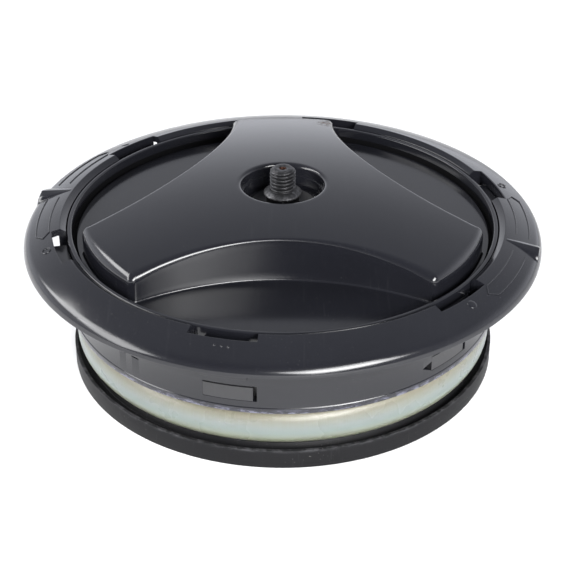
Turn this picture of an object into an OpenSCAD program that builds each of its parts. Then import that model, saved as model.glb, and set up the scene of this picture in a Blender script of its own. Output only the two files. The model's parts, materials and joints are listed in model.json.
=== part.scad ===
// Expanding-seal tank lid with a three-lobed turn knob.
// Turning the knob draws a pressure plate up on three helical cam slots, and the soft seal
// between the plate and the collar is squeezed until it grips the wall of the vessel.
// Frame: Z is the turning axis, z = 0 is the underside of the pressure plate.

/* [Outer ring] */
// Outer radius of the flange
flange_r = 100; // [99:0.1:102]
// Height of the flange's bottom lip above the base
lip_z = 50.9; // [50.5:0.1:52]
// Radius of the flange's round outer edge
lip_round = 4.88; // [4.5:0.02:5.2]
// Radius of the crown of the flange's top
crown_r = 70; // [66:0.5:74]
// Radius where the crown ends and the inner bevel starts
bevel_r = 85.6; // [85.4:0.1:86]
// Inner radius of the flange's mouth, around the knob
mouth_r = 83.4; // [83.3:0.05:83.5]
// Outer radius of the collar
collar_r = 83.4; // [83.2:0.05:83.6]
// Inner radius of the collar
collar_bore_r = 80; // [79.9:0.05:80.1]
// Height of the collar's bottom edge
collar_z = 24; // [24:0.1:24.2]
// Height of the step line round the collar
step_z = 36; // [35.5:0.1:36.5]

/* [Slots and windows] */
// Number of slots in the flange, each over a window in the collar
slot_n = 6; // [4:1:6]
// Direction of the first slot, in degrees from +X
slot_az = 16.5; // [14:0.5:18]
// Angle that a slot spans
slot_angle = 16; // [14:0.5:17]
// Outer radius of the slots
slot_r = 88.8; // [88:0.1:89.4]
// Angle that a snap window spans
window_angle = 13.6; // [13:0.1:14]
// Height of the bottom of the snap windows
window_z = 29.3; // [29:0.1:29.6]

/* [Turn knob] */
// Outer radius of the knob's rim
knob_r = 83.1; // [82.9:0.05:83.1]
// Thickness of the knob's rim
rim_wall = 1.8; // [1.6:0.1:2]
// Height of the finger recess floor
floor_z = 53; // [52.8:0.1:53.4]
// Height of the domed top at the axis
dome_z = 72.9; // [72:0.1:74]
// Radius of the domed top
dome_r = 330; // [300:5:360]
// Radius of the lobe ends
lobe_r = 78; // [77:0.1:78.4]
// Radius of the hollows between the lobes
hollow_r = 97.4; // [96:0.1:98]
// Distance of each hollow's centre from the axis
hollow_d = 137.3; // [137:0.1:138.5]
// Rounding of the lobes' upright corners
corner_round = 3; // [2:0.1:3.4]
// Rounding along the lobes' top outer edge
edge_round = 5; // [4:0.1:5.5]
// Radius of the centre pocket
pocket_r = 15.8; // [15.4:0.1:16.2]
// Height of the pocket's floor
pocket_z = 62.5; // [62:0.1:63]

/* [Motion] */
// Angle from open to closed
turn_angle = 60; // [50:1:60]
// Rise of the pressure plate from open to closed
plate_rise = 5; // [4:0.1:5]

/* [Pressure plate and seal] */
// Outer radius of the pressure plate
plate_r = 83.5; // [83:0.1:84]
// Height of the plate's outer rim
plate_rim_z = 7.95; // [7.6:0.05:8.4]
// Height of the seat that the seal rests on
seat_z = 7.4; // [7:0.1:7.5]
// Outer radius of the relaxed seal
seal_r = 82; // [81:0.1:82.4]
// Inner radius of the seal
seal_bore_r = 66; // [66:0.1:66.4]
// Corner rounding of the seal's section
seal_round = 7; // [6:0.1:7.2]

/* [Centre stud] */
// Radius of the stud's thread
stud_r = 4.93; // [4.9:0.01:4.95]
// Height of the stud's tip
stud_top_z = 78.8; // [77:0.1:80]
// Height of the threads' lower end, at the shoulder
shoulder_z = 70.1; // [69.8:0.1:70.4]
// Radius of the stud's shoulder
shoulder_r = 7.3; // [7:0.1:7.8]

/* [Hidden] */
$fn = 96;
eps = 0.01;

// flange section
lip_c = [flange_r - lip_round, lip_z];
blend_angle = 66;
blend_dir = [cos(blend_angle), sin(blend_angle)];
blend_p = lip_c + lip_round * blend_dir;
crown_c = blend_p - crown_r * blend_dir;
crown_end_z = crown_c[1] + sqrt(pow(crown_r, 2) - pow(bevel_r - crown_c[0], 2));
bevel_drop = 1.4;
mouth_z = crown_end_z - bevel_drop;
shell = 2.6;
mouth_wall_r = bevel_r + 0.6;
shelf_z = 49.5;
jog_z = 46.5;
collar_band = 0.5;
bead_h = 2.5;
bead = 0.25;

// slots, windows and the blocks under the slots
slots = [for (i = [0:slot_n - 1]) slot_az + i * 360 / slot_n];
block_angle = 11;
skirt = 1.2;
skirt_z = lip_z + 0.9;
skirt_top_z = lip_z + 5.4;
tab_gap = 0.9;
tab_short = 1;
notch_az = 309;
dash_az = [226, 230.5];

// pointers and moulded marks
pointer_az = [166.5, 346.5];
pointer_in_r = 86.4;
pointer_out_r = 99.2;
pointer_half = 5.4;
pointer_h = 6.6;
arrow_r = [89.6, 94.6];
arrow_span = 24;
line_w = 0.45;
line_h = 0.35;
mark_r = 92;

// knob section
knob_floor = 2.5;
knob_skin = 2.9;
knob_under_z = floor_z - knob_floor;
rim_groove = 1.6;
rim_groove_z = knob_under_z + 0.8;
lobe_az = [90, 210, 330];
hollow_az = [30, 150, 270];
dome_c = dome_z - dome_r;
corner_c_r = lobe_r - corner_round;
corner_off = acos((pow(corner_c_r, 2) + pow(hollow_d, 2) - pow(hollow_r + corner_round, 2))
  / (2 * corner_c_r * hollow_d));
hub_r = 13;
pocket_floor = 4.5;
pocket_step_z = 68.2;
edge_slack = 0.25;
corner_slack = 0.12;

// cam drum and its screws
drum_bore_r = 35;
drum_r = 38.5;
drum_z = 24;
drum_flange_r = 47.5;
drum_flange = 4;
drum_screw_r = 42.8;
drum_screw_az = [for (a = lobe_az) for (s = [-14, 14]) a + s];
screw_r = 1.75;
screw_head_r = 3.4;
screw_head = 2.6;
screw_grip = 9;
boss_r = 4.2;
pin_r = 2.5;
pin_clear = 0.35;
pin_z = 31;
pin_az = [30, 150, 270];
pin_step = 2.5;

// pressure plate
skin = 3;
tube_r = 34.6;
tube_bore_r = 31;
tube_z = 41;
hub_boss_r = 15;
hub_boss_z = 24;
recess_r = 14;
recess_z = 8.5;
locating_r = [63, 65.5];
locating_z = 12;
groove_r = 78.6;
groove_z = 5;
rim_in_r = plate_r - 1.3;
lug_az = [90, 210, 330];
lug_r = [59, 62];
lug_z = 38;
lug_angle = 14;
rib_n = 12;
rib_w = 2.2;
rib_z = 10;

// retainer ring
backing = 1.2;
retainer_z = collar_z + backing;
retainer_h = 3.2;
retainer_bore_r = 56;
retainer_wall_r = [77, 79.8];
lug_clear = 0.4;

// stud hardware
bore_r = 1.1;
vent_r = 1.5;
vent_len = 12;
shank_r = 5;
run_clear = 0.05;
nut_af = 17;
nut_h = 8;
washer = 1.5;
washer_r = 9.6;
stop_nut_h = 5;
stop_nut_z = 0.8;
stud_bottom_z = 0.4;
bush_r = 7.5;
bush_flange = 1.2;
bush_flange_r = 10;
bush_top_z = 20;
gland_r = 8;
o_ring_w = 2.6;
cap_h = 2;
cap_bore_r = 5.4;
gland_screw_r = 11.3;
gland_screw_az = [90, 210, 330];
gland_thread_r = 1.5;
gland_grip = 8;

// A ring of rectangular section
module tube(r_in, r_out, z0, z1) {
  translate([0, 0, z0])
    difference() {
      cylinder(r = r_out, h = z1 - z0);
      translate([0, 0, -1]) cylinder(r = r_in, h = z1 - z0 + 2);
    }
}

// A piece of such a ring, centred on direction az and a degrees wide
module sector(r_in, r_out, z0, z1, az, a) {
  rotate([0, 0, az - a / 2])
    rotate_extrude(angle = a)
      translate([r_in, z0]) square([r_out - r_in, z1 - z0]);
}

// A hexagonal prism, a across its flats, standing on z0
module hexagon(a, z0, h) {
  translate([0, 0, z0]) cylinder(r = a / sqrt(3), h = h, $fn = 6);
}

// Height of the flange's crown at radius r
function crown_at(r) = crown_c[1] + sqrt(pow(crown_r, 2) - pow(r - crown_c[0], 2));

// Section of the flange grown inwards by t: its outline at t = 0, its hollow at t = shell
module flange_section(t, r_in, z_low) {
  top = 20;
  intersection() {
    translate(crown_c) circle(r = crown_r - t);
    polygon([
      [r_in, z_low], [lip_c[0], z_low], lip_c,
      lip_c + (lip_round - t) * blend_dir, [r_in, lip_z + top]
    ]);
  }
  difference() {
    translate(lip_c) circle(r = lip_round - t);
    translate([0, lip_z - top]) square([2 * flange_r, top]);
  }
}

// Section of the whole outer ring
module ring_section() {
  difference() {
    flange_section(0, mouth_r, lip_z);
    polygon([
      [mouth_r - 1, mouth_z - 0.65], [mouth_r, mouth_z],
      [bevel_r, crown_end_z], [bevel_r, lip_z + 20], [mouth_r - 1, lip_z + 20]
    ]);
    flange_section(shell, mouth_wall_r, lip_z - 1);
  }
  polygon([
    [collar_bore_r, collar_z], [collar_r + bead, collar_z + 0.5], [collar_r + bead, collar_z + bead_h],
    [collar_r, collar_z + bead_h + 0.3], [collar_r, step_z], [collar_r + collar_band, step_z],
    [collar_r + collar_band, jog_z], [mouth_wall_r, jog_z + 1.5], [mouth_wall_r, lip_z + 3],
    [mouth_r, lip_z + 3], [mouth_r, shelf_z], [collar_bore_r, shelf_z]
  ]);
}

// A raised line round the flange at radius r, from angle a0 over a degrees
module arc_line(r, a0, a) {
  z = crown_at(r);
  slope = (crown_at(r + line_w) - z) / line_w;
  rotate([0, 0, a0])
    rotate_extrude(angle = a)
      polygon([
        [r, z - 1], [r + line_w, z - 1],
        [r + line_w, z + slope * line_w + line_h], [r, z + line_h]
      ]);
}

// A straight raised line on the flange between two points given as [radius, angle]
module straight_line(p, q) {
  a = [p[0] * cos(p[1]), p[0] * sin(p[1])];
  b = [q[0] * cos(q[1]), q[0] * sin(q[1])];
  len = norm(b - a);
  z = min(crown_at(p[0]), crown_at(q[0])) - 1;
  translate([a[0], a[1], 0])
    rotate([0, 0, atan2(b[1] - a[1], b[0] - a[0])])
      translate([0, -line_w / 2, 0])
        rotate([90, 0, 0])
          mirror([0, 0, 1])
            linear_extrude(line_w)
              polygon([
                [0, z], [len, z], [len, crown_at(q[0]) + line_h], [0, crown_at(p[0]) + line_h]
              ]);
}

// Double-headed arrow round the flange, with a pointer in its middle
module arrow(az) {
  mid = (arrow_r[0] + arrow_r[1]) / 2 + line_w / 2;
  for (r = arrow_r) {
    arc_line(r, az - arrow_span + 2, arrow_span - 6);
    arc_line(r, az + 4, arrow_span - 6);
  }
  for (s = [-1, 1]) {
    straight_line([arrow_r[0] + line_w / 2, az + s * (arrow_span - 2)], [mid, az + s * arrow_span]);
    straight_line([arrow_r[1] + line_w / 2, az + s * (arrow_span - 2)], [mid, az + s * arrow_span]);
  }
}

// Raised pointer wedge on the flange: a low tip inwards, a ridge rising outwards
module pointer(az) {
  w = pointer_out_r * tan(pointer_half / 2);
  z_in = crown_at(pointer_in_r);
  z_out = crown_at(pointer_out_r) - 1;
  ridge_out = lip_z + pointer_h;
  base = lip_z + 1.5;
  points = [
    [pointer_in_r, 0, base], [pointer_out_r, -w, base], [pointer_out_r, w, base],
    [pointer_in_r, 0, z_in + 0.2], [pointer_out_r, -w, z_out], [pointer_out_r, w, z_out],
    [pointer_out_r, 0, ridge_out]
  ];
  rotate([0, 0, az])
    polyhedron(points, [
      [0, 1, 2], [0, 3, 4], [0, 4, 1], [0, 2, 5], [0, 5, 3],
      [1, 4, 6], [1, 6, 5], [1, 5, 2], [3, 6, 4], [3, 5, 6]
    ]);
}

// Small moulded symbols: an open ring and a filled dot
module ring_mark(az) {
  z = crown_at(mark_r);
  rotate([0, 0, az]) translate([mark_r, 0, 0]) tube(1.3, 1.8, z - 2, z + line_h);
}

module dot_mark(az, r) {
  z = crown_at(mark_r);
  rotate([0, 0, az]) translate([mark_r, 0, z - 2]) cylinder(r = r, h = 2 + line_h, $fn = 32);
}

// Flange, mouth and collar in one moulding
module outer_ring() {
  color([0.10, 0.10, 0.11]) {
    difference() {
      rotate_extrude() ring_section();
      for (a = slots) {
        sector(mouth_r - 0.2, slot_r, shelf_z + 0.1, lip_z + 12, a, slot_angle);
        sector(collar_r + collar_band, slot_r, jog_z - 2, shelf_z + 1, a, slot_angle);
        sector(collar_bore_r - 1, collar_r + 2, window_z, step_z - 0.1, a + 0.5, window_angle);
      }
      // wedge-shaped notch beside one window, and two short slits on the step line
      rotate([0, 0, notch_az])
        translate([collar_bore_r - 2, 0, window_z])
          rotate([90, 0, 90])
            linear_extrude(6) polygon([[-2.6, 2.4], [3, -0.6], [3, 4.6]]);
      for (a = dash_az) sector(collar_r - 0.8, collar_r + 1, step_z - 0.9, step_z + 0.05, a, 2.4);
    }
    for (a = slots) {
      sector(collar_r + 0.1, slot_r - 0.2, jog_z - 5, lip_z + 3.2, a, block_angle);
      // wall under the slot's outer edge, and one across its end
      sector(slot_r + 0.05, slot_r + skirt, skirt_z, skirt_top_z, a + 0.3, slot_angle + 1.8);
      sector(mouth_wall_r - 0.7, slot_r + skirt / 2, skirt_z + 0.3, skirt_top_z - 0.2, a + slot_angle / 2 + 0.6, 0.9);
    }
    for (a = pointer_az) {
      pointer(a);
      arrow(a);
      ring_mark(a + 30);
      dot_mark(a - 30, 1.8);
    }
    for (s = [-1.5, 0, 1.5]) dot_mark(257 + s, 0.5);
  }
}

// Low-friction ring that the knob turns on
module glide_ring() {
  color([0.86, 0.86, 0.82]) tube(collar_bore_r + 0.4, knob_r - 0.2, shelf_z, knob_under_z);
}

// Inner ring snapped into the collar's windows: it backs the seal and guides the plate
module retainer_ring() {
  wall_top = step_z + 1;
  color([0.13, 0.13, 0.14]) {
    difference() {
      union() {
        tube(retainer_bore_r, retainer_wall_r[1], retainer_z, retainer_z + retainer_h);
        tube(retainer_wall_r[0], retainer_wall_r[1], retainer_z, wall_top);
        tube(retainer_bore_r, retainer_bore_r + 2, retainer_z, retainer_z + 6);
      }
      for (a = lug_az) {
        sector(lug_r[0] - lug_clear, lug_r[1] + lug_clear, retainer_z - 1, wall_top, a, lug_angle + 1);
      }
    }
    for (a = slots) {
      sector(
        retainer_wall_r[0] + 1, collar_r - 0.1, window_z + 0.05, step_z - tab_gap - 0.1,
        a + 0.5 - tab_short / 2, window_angle - tab_short
      );
    }
  }
}

// Flat steel ring between the retainer and the top of the seal
module backing_ring() {
  color([0.72, 0.73, 0.74]) tube(seal_bore_r + 0.3, collar_bore_r - 0.3, collar_z, retainer_z);
}

// Soft seal, relaxed
module expanding_seal() {
  w = seal_r - seal_bore_r;
  h = collar_z - seat_z;
  in_round = 3;
  color([0.72, 0.76, 0.70])
    rotate_extrude()
      translate([seal_bore_r, seat_z]) {
        translate([0, in_round]) square([w - seal_round, h - 2 * in_round]);
        translate([in_round, 0]) square([w - seal_round - in_round, h]);
        translate([w - seal_round - eps, seal_round]) square([seal_round + eps, h - 2 * seal_round]);
        for (z = [in_round, h - in_round]) translate([in_round, z]) circle(r = in_round);
        for (z = [seal_round, h - seal_round]) translate([w - seal_round, z]) circle(r = seal_round);
      }
}

// Plan of the three lobes with sharp corners, drawn t smaller all round
module sharp_lobes(t) {
  difference() {
    circle(r = lobe_r - t, $fn = 180);
    for (a = hollow_az) rotate(a) translate([hollow_d, 0]) circle(r = hollow_r + t, $fn = 180);
  }
}

// The same plan at full size with rounded corners
module round_lobes() {
  side_c = [hollow_d, 0];
  reach = 9;
  difference() {
    sharp_lobes(0);
    for (a = hollow_az) for (s = [-1, 1]) {
      c = corner_c_r * [cos(s * corner_off), sin(s * corner_off)];
      past_end = c + reach * c / norm(c);
      past_side = c + reach * (side_c - c) / norm(side_c - c);
      rotate(a)
        difference() {
          polygon([c, past_end, [lobe_r, s * 8], past_side]);
          translate(c) circle(r = corner_round + corner_slack);
        }
    }
  }
}

// Revolved body under the dome, rounded at its outer top edge
module dome_body() {
  end_r = lobe_r + edge_slack;
  c_r = end_r - edge_round;
  c_z = dome_c + sqrt(pow(dome_r - edge_round, 2) - pow(c_r, 2));
  up = ([c_r, c_z] - [0, dome_c]) / (dome_r - edge_round);
  rotate([0, 0, lobe_az[0]])
    rotate_extrude($fn = 180)
      difference() {
        union() {
          intersection() {
            translate([0, dome_c]) circle(r = dome_r, $fn = 360);
            polygon([
              [0, 0], [c_r, 0], [c_r, c_z], [c_r, c_z] + 2 * edge_round * up, [0, dome_z + 9]
            ]);
          }
          square([end_r, c_z]);
          translate([c_r, c_z]) circle(r = edge_round);
        }
        translate([-2 * lobe_r, -1]) square([2 * lobe_r, dome_r]);
        translate([0, -1]) square([2 * lobe_r, floor_z]);
      }
}

// Hollow inside the lobes: their plan drawn smaller under a cone that follows the dome
module lobe_hollow() {
  z_in = dome_z - knob_skin - 0.7;
  z_out = dome_c + sqrt(pow(dome_r, 2) - pow(lobe_r, 2)) - knob_skin - 1;
  intersection() {
    linear_extrude(dome_z) sharp_lobes(knob_skin);
    rotate([0, 0, lobe_az[0]])
      rotate_extrude()
        polygon([
          [0, knob_under_z - 1], [lobe_r, knob_under_z - 1], [lobe_r, z_out],
          [pocket_r, z_in], [0, z_in]
        ]);
  }
}

// Knob, recess floor and rim in one moulding
module turn_knob() {
  rim_in_r = knob_r - rim_wall;
  color([0.11, 0.11, 0.12]) {
    difference() {
      union() {
        rotate_extrude()
          polygon([
            [0, knob_under_z], [knob_r, knob_under_z], [knob_r, mouth_z], [rim_in_r, mouth_z],
            [rim_in_r, rim_groove_z], [rim_in_r - rim_groove, rim_groove_z],
            [rim_in_r - rim_groove, floor_z], [0, floor_z]
          ]);
        intersection() {
          linear_extrude(dome_z + 1) round_lobes();
          dome_body();
        }
      }
      // hollow lobes, open underneath, with the hub and three webs left in
      difference() {
        lobe_hollow();
        cylinder(r = hub_r, h = dome_z);
        translate([0, 0, pocket_z - pocket_floor]) cylinder(r = pocket_r + 2.6, h = dome_z);
        for (a = lobe_az) {
          rotate([0, 0, a]) translate([0, -1.1, knob_under_z]) cube([lobe_r, 2.2, dome_z]);
        }
        for (a = drum_screw_az) {
          rotate([0, 0, a]) translate([drum_screw_r, 0, knob_under_z]) cylinder(r = boss_r, h = dome_z);
        }
      }
      // centre pocket with its step and eased mouth
      translate([0, 0, pocket_z]) cylinder(r = pocket_r - 0.6, h = dome_z);
      translate([0, 0, pocket_step_z]) cylinder(r = pocket_r, h = dome_z);
      translate([0, 0, dome_z - 1.1]) cylinder(r1 = pocket_r, r2 = pocket_r + 2, h = 2);
      // holes for the stud and the drum screws
      translate([0, 0, knob_under_z - 1]) cylinder(r = shank_r, h = pocket_z);
      for (a = drum_screw_az) {
        rotate([0, 0, a])
          translate([drum_screw_r, 0, knob_under_z - 1]) cylinder(r = screw_r, h = screw_grip + 2);
      }
    }
  }
}

// Round plate on the pocket floor that the stud's neck bears on
module hub_washer() {
  color([0.16, 0.16, 0.17]) tube(shank_r, 12.6, pocket_z, pocket_z + 1.5);
}

// Threaded stud with a sloped shoulder, a neck and a long shank down to the stop nut
module centre_stud() {
  neck_z = pocket_z + 1.5;
  chamfer = 1.3;
  color([0.20, 0.20, 0.21])
    rotate_extrude()
      difference() {
        polygon([
          [bore_r, stud_bottom_z], [shank_r - 0.6, stud_bottom_z], [shank_r, stud_bottom_z + 0.6],
          [shank_r, neck_z], [6.4, neck_z], [6.4, shoulder_z - 2.1], [shoulder_r, shoulder_z - 2.1],
          [shoulder_r, shoulder_z - 1.4], [stud_r, shoulder_z], [stud_r, stud_top_z - chamfer],
          [stud_r - chamfer, stud_top_z], [bore_r, stud_top_z]
        ]);
        translate([0, stud_top_z - vent_len]) square([vent_r, vent_len + 1]);
      }
}

// Copper lining of the stud's vent hole
module vent_tube() {
  color([0.72, 0.45, 0.32]) tube(bore_r, vent_r, stud_top_z - vent_len, stud_top_z - 0.3);
}

module stud_lock_washer() {
  color([0.70, 0.71, 0.72])
    tube(shank_r + 0.1, washer_r, knob_under_z - washer, knob_under_z);
}

module stud_nut() {
  color([0.74, 0.75, 0.76])
    difference() {
      hexagon(nut_af, knob_under_z - washer - nut_h, nut_h);
      translate([0, 0, drum_z]) cylinder(r = shank_r, h = 40);
    }
}

// Drum under the knob with three helical cam slots for the follower pins
module cam_drum() {
  steps = ceil(turn_angle / pin_step);
  color([0.82, 0.80, 0.72])
    difference() {
      union() {
        tube(drum_bore_r, drum_r, drum_z, knob_under_z);
        tube(drum_bore_r, drum_flange_r, knob_under_z - drum_flange, knob_under_z);
      }
      for (a = pin_az) for (i = [0:steps]) {
        rotate([0, 0, a + turn_angle * i / steps])
          translate([drum_bore_r - 2, 0, pin_z + plate_rise * i / steps])
            rotate([0, 90, 0]) cylinder(r = pin_r + pin_clear, h = 8, $fn = 32);
      }
      for (a = drum_screw_az) {
        rotate([0, 0, a]) translate([drum_screw_r, 0, drum_z]) cylinder(r = screw_r, h = 40);
      }
    }
}

module drum_screws() {
  low = knob_under_z - drum_flange;
  color([0.76, 0.77, 0.78])
    for (a = drum_screw_az) rotate([0, 0, a]) translate([drum_screw_r, 0, 0]) {
      translate([0, 0, low]) cylinder(r = screw_r, h = drum_flange + screw_grip);
      difference() {
        translate([0, 0, low - screw_head]) cylinder(r = screw_head_r, h = screw_head);
        for (s = [0, 90]) {
          rotate([0, 0, s]) translate([-2, -0.45, low - screw_head - 1]) cube([4, 0.9, 2.4]);
        }
      }
    }
}

module stop_washer() {
  top = recess_z - bush_flange;
  color([0.70, 0.71, 0.72]) tube(shank_r + 0.1, washer_r, top - washer, top);
}

module stop_nut() {
  color([0.74, 0.75, 0.76])
    difference() {
      hexagon(nut_af - 1, stop_nut_z, stop_nut_h);
      translate([0, 0, -1]) cylinder(r = shank_r, h = 20);
    }
}

// Plate that squeezes the seal: skin, seal seat, hub, tube with the pins, lugs and ribs
module pressure_plate() {
  color([0.12, 0.12, 0.13])
    difference() {
      union() {
        rotate_extrude()
          polygon([
            [0, 0], [plate_r - 0.4, 0], [plate_r, 0.4], [plate_r, plate_rim_z - 0.3],
            [plate_r - 0.3, plate_rim_z], [rim_in_r, plate_rim_z], [rim_in_r, groove_z],
            [groove_r, groove_z], [groove_r - 1, seat_z], [locating_r[1], seat_z],
            [locating_r[1], locating_z], [locating_r[0], locating_z], [locating_r[0], skin], [0, skin]
          ]);
        tube(tube_bore_r, tube_r, 0, tube_z);
        cylinder(r = hub_boss_r, h = hub_boss_z);
        for (i = [0:rib_n - 1]) rotate([0, 0, (i + 0.5) * 360 / rib_n]) {
          translate([hub_boss_r - 1, -rib_w / 2, 0]) cube([locating_r[0] - hub_boss_r + 2, rib_w, rib_z]);
        }
        for (a = lug_az) sector(lug_r[0], lug_r[1], 0, lug_z, a, lug_angle);
      }
      translate([0, 0, -1]) cylinder(r = recess_r, h = recess_z + 1);
      cylinder(r = bush_r, h = bush_top_z);
      translate([0, 0, bush_top_z - 1]) cylinder(r = gland_r, h = 9);
      for (a = gland_screw_az) {
        rotate([0, 0, a])
          translate([gland_screw_r, 0, hub_boss_z - gland_grip - 1]) cylinder(r = gland_thread_r, h = 20);
      }
      for (a = pin_az) {
        rotate([0, 0, a])
          translate([tube_bore_r - 3, 0, pin_z]) rotate([0, 90, 0]) cylinder(r = pin_r, h = 8);
      }
    }
}

module follower_pins() {
  color([0.78, 0.79, 0.80])
    for (a = pin_az) {
      rotate([0, 0, a]) translate([tube_bore_r - 0.6, 0, pin_z]) rotate([0, 90, 0]) {
        cylinder(r = pin_r, h = 9.8);
        translate([0, 0, 9.8]) cylinder(r1 = pin_r, r2 = pin_r - 0.6, h = 0.6);
      }
    }
}

// Flanged bush in the plate's hub, running on the stud
module hub_bush() {
  color([0.80, 0.66, 0.36])
    difference() {
      union() {
        translate([0, 0, recess_z]) cylinder(r = bush_r, h = bush_top_z - 1 - recess_z);
        translate([0, 0, recess_z - bush_flange]) cylinder(r = bush_flange_r, h = bush_flange);
      }
      cylinder(r = shank_r + run_clear, h = 40);
    }
}

module gland_o_ring() {
  color([0.08, 0.08, 0.08])
    rotate_extrude()
      translate([shank_r + run_clear + o_ring_w / 2, bush_top_z + 0.5 + o_ring_w / 2])
        circle(r = o_ring_w / 2);
}

module gland_cap() {
  color([0.78, 0.79, 0.80])
    difference() {
      cylinder(r = hub_boss_r, h = hub_boss_z + cap_h);
      translate([0, 0, -1]) cylinder(r = hub_boss_r + 1, h = hub_boss_z + 1);
      cylinder(r = cap_bore_r, h = 60);
      for (a = gland_screw_az) {
        rotate([0, 0, a]) translate([gland_screw_r, 0, 0]) cylinder(r = gland_thread_r, h = 60);
      }
    }
}

module gland_screws() {
  top = hub_boss_z + cap_h;
  color([0.76, 0.77, 0.78])
    for (a = gland_screw_az) rotate([0, 0, a]) translate([gland_screw_r, 0, 0]) {
      translate([0, 0, hub_boss_z - gland_grip]) cylinder(r = gland_thread_r, h = cap_h + gland_grip);
      difference() {
        translate([0, 0, top]) cylinder(r = 2.8, h = 1.8);
        translate([-4, -0.4, top + 1]) cube([8, 0.8, 2]);
      }
    }
}

outer_ring();
glide_ring();
retainer_ring();
backing_ring();
expanding_seal();
turn_knob();
hub_washer();
centre_stud();
vent_tube();
stud_lock_washer();
stud_nut();
cam_drum();
drum_screws();
stop_washer();
stop_nut();
pressure_plate();
follower_pins();
hub_bush();
gland_o_ring();
gland_cap();
gland_screws();
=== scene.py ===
import json
import math

import bpy
import bmesh
import numpy as np
from mathutils import Matrix, Vector
from mathutils.geometry import delaunay_2d_cdt


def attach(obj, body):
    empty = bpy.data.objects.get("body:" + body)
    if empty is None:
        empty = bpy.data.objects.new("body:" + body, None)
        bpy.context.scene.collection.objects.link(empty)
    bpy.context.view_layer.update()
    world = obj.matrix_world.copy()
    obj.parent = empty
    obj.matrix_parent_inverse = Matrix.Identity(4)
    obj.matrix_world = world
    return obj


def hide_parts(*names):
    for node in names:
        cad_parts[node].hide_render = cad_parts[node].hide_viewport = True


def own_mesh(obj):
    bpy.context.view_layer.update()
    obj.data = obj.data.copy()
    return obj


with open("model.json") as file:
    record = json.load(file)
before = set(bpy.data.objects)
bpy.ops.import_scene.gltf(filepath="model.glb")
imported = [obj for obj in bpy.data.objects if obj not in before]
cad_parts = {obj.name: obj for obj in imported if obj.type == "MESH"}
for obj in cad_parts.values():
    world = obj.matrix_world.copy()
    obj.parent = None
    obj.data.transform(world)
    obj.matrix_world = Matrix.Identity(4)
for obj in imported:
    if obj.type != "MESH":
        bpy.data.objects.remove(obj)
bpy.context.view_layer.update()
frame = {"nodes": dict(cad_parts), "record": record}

MM = 0.001

# ---------------------------------------------------------------- sizes, in millimetres, as in the CAD
LIP_C, LIP_R = (95.12, 50.9), 4.88      # centre (r, z) and radius of the flange's round lip
BLEND = math.radians(66)                # where the lip's arc passes into the crowned top
CROWN_R = 70.0
BLEND_P = (LIP_C[0] + LIP_R * math.cos(BLEND), LIP_C[1] + LIP_R * math.sin(BLEND))
CROWN_C = (BLEND_P[0] - CROWN_R * math.cos(BLEND), BLEND_P[1] - CROWN_R * math.sin(BLEND))
SHELL = 2.6                             # thickness of the flange
BEVEL_R = 85.6                          # outer edge of the bevel round the mouth
MOUTH_R = 83.4                          # mouth of the flange, and outside of the collar
STEP_R, STEP_Z = 83.9, 36               # above this step the collar is wider
COLLAR_IN = 80
COLLAR_Z, COLLAR_TOP = 24, 49.5         # the seal bears on the underside, and the knob turns over the top
UNDER_R = 86.2                          # where the flange's underside meets the collar
SLOT_R = 88.8                           # outer edge of the slots
BLOCK_R, BLOCK_Z = 88.6, (41.5, 54.1)   # the block that stands in each slot
WINDOW_Z = (29.3, 35.9)                 # the snap window under each slot
SKIRT_R, SKIRT_Z = 90.0, 51.8           # low skirt under the flange, outside each slot

# places round the ring, in degrees
SLOTS = [16.5 + 60 * k for k in range(6)]
SLOT_HALF, BLOCK_HALF = 8, 5.5          # either side of a slot's middle
WINDOW_FROM, WINDOW_TO = -6.3, 7.3      # from a slot's middle
WALL_TO = 9.2                           # end of the wall that closes a slot
DASHES = ((224.8, 227.2), (229.3, 231.7))
NOTCH_FROM, NOTCH_AZ, NOTCH_Z = 307.25, 309, 31.7

FLOOR_Z = 53.0                          # floor of the knob's finger recesses
DOME_Z, DOME_R = 72.9, 330.0            # the knob's domed top
LOBE_R, HOLLOW_R, HOLLOW_D, CORNER = 78.0, 97.4, 137.3, 3.0
KNOB_R, RIM_WALL = 83.1, 1.8
KNOB_UNDER = 50.5
POCKET_Z = 62.5
GROOVE_W, GROOVE_Z = 1.6, 51.3          # groove at the foot of the knob's rim

SEAL_IN, SEAL_R, SEAL_Z = 66, 82, 7.4
SEAL_H, PLATE_TRAVEL = 16.6, 5.1
STUD_R, STUD_TOP, TUBE_FOOT = 4.93, 78.8, 66.8
PLATE_R = 83.5


def crown(r):
    """Height of the flange's crowned top at radius r."""
    return CROWN_C[1] + math.sqrt(CROWN_R ** 2 - (r - CROWN_C[0]) ** 2)


def skin_z(r):
    """Height of the flange's top or lip at radius r."""
    if r < BLEND_P[0]:
        return crown(r)
    return LIP_C[1] + math.sqrt(max(LIP_R ** 2 - (r - LIP_C[0]) ** 2, 0))


def dome(x, y):
    return DOME_Z - DOME_R + np.sqrt(DOME_R ** 2 - x * x - y * y)


def smooth(t):
    t = max(0.0, min(1.0, t))
    return t ** 2 * (3 - 2 * t)


MOUTH_Z = crown(BEVEL_R) - 1.4


# ---------------------------------------------------------------- mesh helpers
def build(name, shape, body, mat, replaces=(), sharp=35.0):
    verts, faces = shape
    me = bpy.data.meshes.new(name)
    me.from_pydata([tuple(c * MM for c in v) for v in verts], [], faces)
    bm = bmesh.new()
    bm.from_mesh(me)
    bmesh.ops.remove_doubles(bm, verts=bm.verts, dist=2e-6)
    bmesh.ops.recalc_face_normals(bm, faces=bm.faces)
    bm.to_mesh(me)
    bm.free()
    shade(me, sharp)
    ob = bpy.data.objects.new(name, me)
    bpy.context.scene.collection.objects.link(ob)
    me.materials.append(mat)
    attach(ob, body)
    if replaces:
        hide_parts(*replaces)
    return ob


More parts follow.
